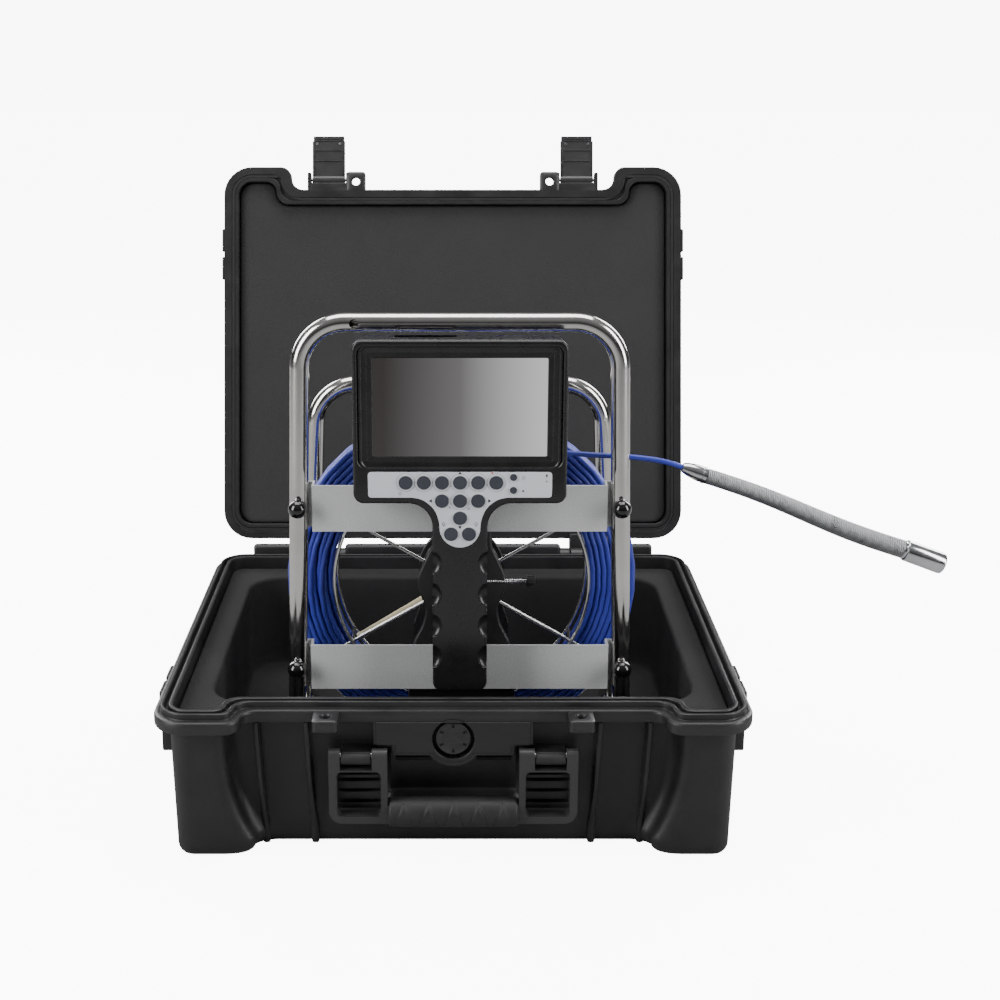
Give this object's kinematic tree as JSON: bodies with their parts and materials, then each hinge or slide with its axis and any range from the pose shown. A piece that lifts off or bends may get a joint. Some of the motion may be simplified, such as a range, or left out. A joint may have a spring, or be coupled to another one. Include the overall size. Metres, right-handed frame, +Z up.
{
  "type": "pipe inspection camera",
  "caption": "Pipe inspection camera in an open hard carrying case: wire push-cable reel in a bent tube stand, hand-held monitor with keypad, and a spring-mounted camera head.",
  "frame": {"origin": "centre of the case base's outline on the surface it stands on", "axes": "+Z up, +X to the right as seen from the monitor's side, +Y from the front with the handle to the hinges"},
  "size_m": [0.7293, 0.6178, 0.594],
  "materials": {
    "case_plastic": "satin moulded",
    "foam": "closed-cell foam",
    "pin_steel": "satin",
    "seal_rubber": "matte",
    "latch_plastic": "satin moulded",
    "grip_rubber": "matte",
    "stainless_tube": "polished",
    "plate_aluminium": "satin speckled",
    "knob_plastic": "glossy",
    "reel_plastic": "satin",
    "bush_bronze": "turned",
    "reel_wire": "polished",
    "lead_in_plastic": "smooth",
    "push_cable": "smooth sheath",
    "head_steel": "turned",
    "spring_steel": "wound wire",
    "led_lens": "clear over white",
    "lens_glass": "polished",
    "monitor_plastic": "satin gloss",
    "screen_glass": "gloss",
    "fascia_plastic": "satin printed",
    "circuit_board": "lacquered",
    "battery_wrap": "shrink wrap",
    "key_rubber": "matte"
  },
  "bodies": {
    "case": {"case_base": "case_plastic", "base_lugs": "case_plastic", "base_foam": "foam", "pivot_pins": "pin_steel"},
    "lid": {"case_lid": "case_plastic", "lid_seal": "seal_rubber", "lid_foam": "foam", "latch_pins": "pin_steel"},
    "latch_l": {"latch_left": "latch_plastic"},
    "latch_r": {"latch_right": "latch_plastic"},
    "handle": {"carry_handle": "case_plastic", "handle_grip": "grip_rubber"},
    "valve": {"valve_knob": "case_plastic"},
    "reel_stand": {"front_frame": "stainless_tube", "rear_frame": "stainless_tube", "frame_rails": "stainless_tube", "upper_plate": "plate_aluminium", "lower_plate": "plate_aluminium", "axle": "pin_steel", "front_pedestal": "reel_plastic", "rear_pedestal": "reel_plastic", "slip_ring": "reel_plastic", "cable_lead": "push_cable", "head_tail": "head_steel", "head_spring": "spring_steel", "head_body": "head_steel", "led_ring": "led_lens", "head_lens": "lens_glass"},
    "reel": {"reel_hub": "reel_plastic", "hub_bushes": "bush_bronze", "reel_rings": "reel_wire", "reel_spokes": "reel_wire", "lead_in_tube": "lead_in_plastic", "cable_coil": "push_cable"},
    "brake": {"brake_screw": "pin_steel"},
    "ball_ul": {"knob_upper_left": "knob_plastic"},
    "ball_ur": {"knob_upper_right": "knob_plastic"},
    "ball_ll": {"knob_lower_left": "knob_plastic"},
    "ball_lr": {"knob_lower_right": "knob_plastic"},
    "monitor": {"front_housing": "monitor_plastic", "rear_housing": "monitor_plastic", "display": "screen_glass", "keypad_fascia": "fascia_plastic", "main_board": "circuit_board", "battery_pack": "battery_wrap", "housing_screws": "pin_steel"},
    "key_1_cap": {"key_1": "key_rubber"},
    "key_2_cap": {"key_2": "key_rubber"},
    "key_3_cap": {"key_3": "key_rubber"},
    "key_4_cap": {"key_4": "key_rubber"},
    "key_5_cap": {"key_5": "key_rubber"},
    "key_6_cap": {"key_6": "key_rubber"},
    "key_7_cap": {"key_7": "key_rubber"},
    "key_8_cap": {"key_8": "key_rubber"},
    "key_9_cap": {"key_9": "key_rubber"},
    "key_10_cap": {"key_10": "key_rubber"},
    "key_11_cap": {"key_11": "key_rubber"},
    "key_12_cap": {"key_12": "key_rubber"},
    "side_key_1_cap": {"side_key_1": "key_rubber"},
    "side_key_2_cap": {"side_key_2": "key_rubber"}
  },
  "joints": [
    {"name": "lid_hinge", "type": "hinge", "parent": "case", "child": "lid", "pos_m": [0, 0.2314, 0.1314], "axis": [1, 0, 0], "range_deg": [0, 32]},
    {"name": "handle_swing", "type": "hinge", "parent": "case", "child": "handle", "pos_m": [0, -0.188, 0.095], "axis": [-1, 0, 0], "range_deg": [0, 110]},
    {"name": "valve_turn", "type": "hinge", "parent": "case", "child": "valve", "pos_m": [0, -0.183, 0.1093], "axis": [0, 1, 0], "range_deg": [0, 90]},
    {"name": "stand_lift", "type": "slide", "parent": "case", "child": "reel_stand", "axis": [0, 0, 1], "range_m": [0, 0.12]},
    {"name": "reel_spin", "type": "hinge", "parent": "reel_stand", "child": "reel", "pos_m": [0.008, -0.038, 0.206], "axis": [0, 1, 0], "continuous": true},
    {"name": "brake_turn", "type": "hinge", "parent": "reel_stand", "child": "brake", "pos_m": [0.05, -0.0645, 0.211], "axis": [1, 0, 0], "range_deg": [-180, 180]},
    {"name": "monitor_lift", "type": "slide", "parent": "reel_stand", "child": "monitor", "axis": [0, 0, 1], "range_m": [0, 0.018]},
    {"name": "latch_left_swing", "type": "hinge", "parent": "lid", "child": "latch_l", "pos_m": [-0.1424, 0.35141, 0.54515], "axis": [1, 0, 0], "range_deg": [0, 90]},
    {"name": "latch_right_swing", "type": "hinge", "parent": "lid", "child": "latch_r", "pos_m": [0.1424, 0.35141, 0.54515], "axis": [1, 0, 0], "range_deg": [0, 90]},
    {"name": "ball_upper_left_turn", "type": "hinge", "parent": "reel_stand", "child": "ball_ul", "pos_m": [-0.14179, -0.075, 0.2895], "axis": [0, 1, 0], "range_deg": [-180, 180]},
    {"name": "ball_upper_right_turn", "type": "hinge", "parent": "reel_stand", "child": "ball_ur", "pos_m": [0.15379, -0.075, 0.2895], "axis": [0, 1, 0], "range_deg": [-180, 180]},
    {"name": "ball_lower_left_turn", "type": "hinge", "parent": "reel_stand", "child": "ball_ll", "pos_m": [-0.1459, -0.075, 0.1325], "axis": [0, 1, 0], "range_deg": [-180, 180]},
    {"name": "ball_lower_right_turn", "type": "hinge", "parent": "reel_stand", "child": "ball_lr", "pos_m": [0.1579, -0.075, 0.1325], "axis": [0, 1, 0], "range_deg": [-180, 180]},
    {"name": "key_1_press", "type": "slide", "parent": "monitor", "child": "key_1_cap", "axis": [0, 1, 0], "range_m": [0, 0.0008], "stiffness_N_per_m": 500},
    {"name": "key_2_press", "type": "slide", "parent": "monitor", "child": "key_2_cap", "axis": [0, 1, 0], "range_m": [0, 0.0008], "stiffness_N_per_m": 500},
    {"name": "key_3_press", "type": "slide", "parent": "monitor", "child": "key_3_cap", "axis": [0, 1, 0], "range_m": [0, 0.0008], "stiffness_N_per_m": 500},
    {"name": "key_4_press", "type": "slide", "parent": "monitor", "child": "key_4_cap", "axis": [0, 1, 0], "range_m": [0, 0.0008], "stiffness_N_per_m": 500},
    {"name": "key_5_press", "type": "slide", "parent": "monitor", "child": "key_5_cap", "axis": [0, 1, 0], "range_m": [0, 0.0008], "stiffness_N_per_m": 500},
    {"name": "key_6_press", "type": "slide", "parent": "monitor", "child": "key_6_cap", "axis": [0, 1, 0], "range_m": [0, 0.0008], "stiffness_N_per_m": 500},
    {"name": "key_7_press", "type": "slide", "parent": "monitor", "child": "key_7_cap", "axis": [0, 1, 0], "range_m": [0, 0.0008], "stiffness_N_per_m": 500},
    {"name": "key_8_press", "type": "slide", "parent": "monitor", "child": "key_8_cap", "axis": [0, 1, 0], "range_m": [0, 0.0008], "stiffness_N_per_m": 500},
    {"name": "key_9_press", "type": "slide", "parent": "monitor", "child": "key_9_cap", "axis": [0, 1, 0], "range_m": [0, 0.0008], "stiffness_N_per_m": 500},
    {"name": "key_10_press", "type": "slide", "parent": "monitor", "child": "key_10_cap", "axis": [0, 1, 0], "range_m": [0, 0.0008], "stiffness_N_per_m": 500},
    {"name": "key_11_press", "type": "slide", "parent": "monitor", "child": "key_11_cap", "axis": [0, 1, 0], "range_m": [0, 0.0008], "stiffness_N_per_m": 500},
    {"name": "key_12_press", "type": "slide", "parent": "monitor", "child": "key_12_cap", "axis": [0, 1, 0], "range_m": [0, 0.0008], "stiffness_N_per_m": 500},
    {"name": "side_key_1_press", "type": "slide", "parent": "monitor", "child": "side_key_1_cap", "axis": [0, 1, 0], "range_m": [0, 0.0008], "stiffness_N_per_m": 500},
    {"name": "side_key_2_press", "type": "slide", "parent": "monitor", "child": "side_key_2_cap", "axis": [0, 1, 0], "range_m": [0, 0.0008], "stiffness_N_per_m": 500}
  ]
}
